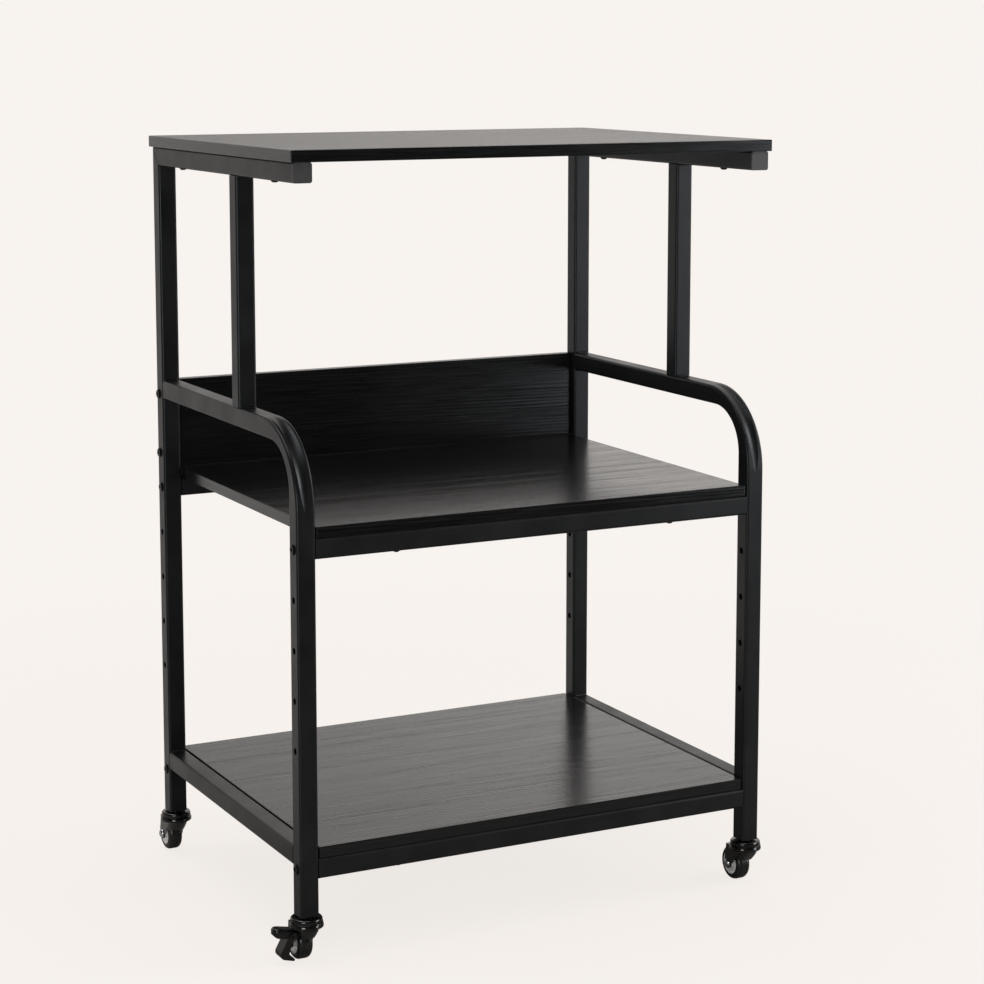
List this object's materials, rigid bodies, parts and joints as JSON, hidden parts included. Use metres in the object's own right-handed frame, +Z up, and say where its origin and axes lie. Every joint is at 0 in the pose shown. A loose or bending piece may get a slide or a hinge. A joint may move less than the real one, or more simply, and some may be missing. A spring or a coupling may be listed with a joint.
{
  "type": "rolling printer stand",
  "caption": "Rolling stand of square tube with a top panel, a height-adjustable middle shelf with back panel, a bottom shelf and swivel casters, some with brakes, for a printer and its paper.",
  "frame": {"origin": "on the floor under the middle of the whole stand's box", "axes": "+X to the right as seen from the front, +Y to the rear, where the back panel is, +Z up"},
  "size_m": [0.5874, 0.433, 0.8128],
  "materials": {
    "frame_steel": "satin black powder coat",
    "laminated_board": "black wood-grain laminate on board",
    "black_plastic": "satin black",
    "black_bolt_steel": "black zinc",
    "zinc_steel": "zinc plated",
    "caster_steel": "gloss black",
    "bearing_plastic": "black nylon",
    "axle_steel": "bright zinc",
    "tread_plastic": "hard black tread",
    "core_plastic": "silver plated, moulded",
    "lever_plastic": "gloss black"
  },
  "bodies": {
    "stand": {"back_panel": "laminated_board", "back_panel_bolts": "black_bolt_steel", "back_panel_inserts": "zinc_steel", "bottom_front_rail": "frame_steel", "bottom_panel": "laminated_board", "bottom_panel_screws": "black_bolt_steel", "bottom_rear_rail": "frame_steel", "front_left_socket": "black_plastic", "front_left_stem": "caster_steel", "front_right_socket": "black_plastic", "front_right_stem": "caster_steel", "left_arm_tube": "frame_steel", "left_lower_rail": "frame_steel", "left_rail_end_cap": "black_plastic", "left_rear_post": "frame_steel", "left_top_rail": "frame_steel", "left_upper_post": "frame_steel", "middle_front_rail": "frame_steel", "middle_panel": "laminated_board", "middle_panel_screws": "black_bolt_steel", "middle_rear_rail": "frame_steel", "rail_nut_blocks": "zinc_steel", "rear_left_socket": "black_plastic", "rear_left_stem": "caster_steel", "rear_right_socket": "black_plastic", "rear_right_stem": "caster_steel", "right_arm_tube": "frame_steel", "right_lower_rail": "frame_steel", "right_rail_end_cap": "black_plastic", "right_rear_post": "frame_steel", "right_top_rail": "frame_steel", "right_upper_post": "frame_steel", "shelf_bolts": "black_bolt_steel", "top_panel": "laminated_board", "top_panel_screws": "black_bolt_steel"},
    "front_left_brake": {"front_left_brake_lever": "lever_plastic"},
    "front_left_swivel": {"front_left_fork": "caster_steel", "front_left_bearing": "bearing_plastic", "front_left_axle": "axle_steel", "front_left_brake_pin": "black_bolt_steel"},
    "front_left_wheel": {"front_left_tyre": "tread_plastic", "front_left_wheel_core": "core_plastic"},
    "front_right_swivel": {"front_right_fork": "caster_steel", "front_right_bearing": "bearing_plastic", "front_right_axle": "axle_steel"},
    "front_right_wheel": {"front_right_tyre": "tread_plastic", "front_right_wheel_core": "core_plastic"},
    "rear_left_swivel": {"rear_left_fork": "caster_steel", "rear_left_bearing": "bearing_plastic", "rear_left_axle": "axle_steel"},
    "rear_left_wheel": {"rear_left_tyre": "tread_plastic", "rear_left_wheel_core": "core_plastic"},
    "rear_right_brake": {"rear_right_brake_lever": "lever_plastic"},
    "rear_right_swivel": {"rear_right_fork": "caster_steel", "rear_right_bearing": "bearing_plastic", "rear_right_axle": "axle_steel", "rear_right_brake_pin": "black_bolt_steel"},
    "rear_right_wheel": {"rear_right_tyre": "tread_plastic", "rear_right_wheel_core": "core_plastic"}
  },
  "joints": [
    {"name": "front_left_swivel_turn", "type": "hinge", "parent": "stand", "child": "front_left_swivel", "pos_m": [-0.26005, -0.20035, 0.042], "axis": [0, 0, 1], "continuous": true},
    {"name": "front_left_wheel_spin", "type": "hinge", "parent": "front_left_swivel", "child": "front_left_wheel", "pos_m": [-0.26005, -0.18235, 0.0185], "axis": [1, 0, 0], "continuous": true},
    {"name": "front_left_brake_press", "type": "hinge", "parent": "front_left_swivel", "child": "front_left_brake", "pos_m": [-0.27525, -0.19135, 0.03], "axis": [0, -1, 0], "range_deg": [0, 8]},
    {"name": "front_right_swivel_turn", "type": "hinge", "parent": "stand", "child": "front_right_swivel", "pos_m": [0.26005, -0.20035, 0.042], "axis": [0, 0, 1], "continuous": true},
    {"name": "front_right_wheel_spin", "type": "hinge", "parent": "front_right_swivel", "child": "front_right_wheel", "pos_m": [0.26005, -0.18235, 0.0185], "axis": [1, 0, 0], "continuous": true},
    {"name": "rear_left_swivel_turn", "type": "hinge", "parent": "stand", "child": "rear_left_swivel", "pos_m": [-0.26005, 0.18005, 0.042], "axis": [0, 0, 1], "continuous": true},
    {"name": "rear_left_wheel_spin", "type": "hinge", "parent": "rear_left_swivel", "child": "rear_left_wheel", "pos_m": [-0.26005, 0.19805, 0.0185], "axis": [1, 0, 0], "continuous": true},
    {"name": "rear_right_swivel_turn", "type": "hinge", "parent": "stand", "child": "rear_right_swivel", "pos_m": [0.26005, 0.18005, 0.042], "axis": [0, 0, 1], "continuous": true},
    {"name": "rear_right_wheel_spin", "type": "hinge", "parent": "rear_right_swivel", "child": "rear_right_wheel", "pos_m": [0.26005, 0.16205, 0.0185], "axis": [1, 0, 0], "continuous": true},
    {"name": "rear_right_brake_press", "type": "hinge", "parent": "rear_right_swivel", "child": "rear_right_brake", "pos_m": [0.27525, 0.17105, 0.03], "axis": [0, 1, 0], "range_deg": [0, 8]}
  ]
}
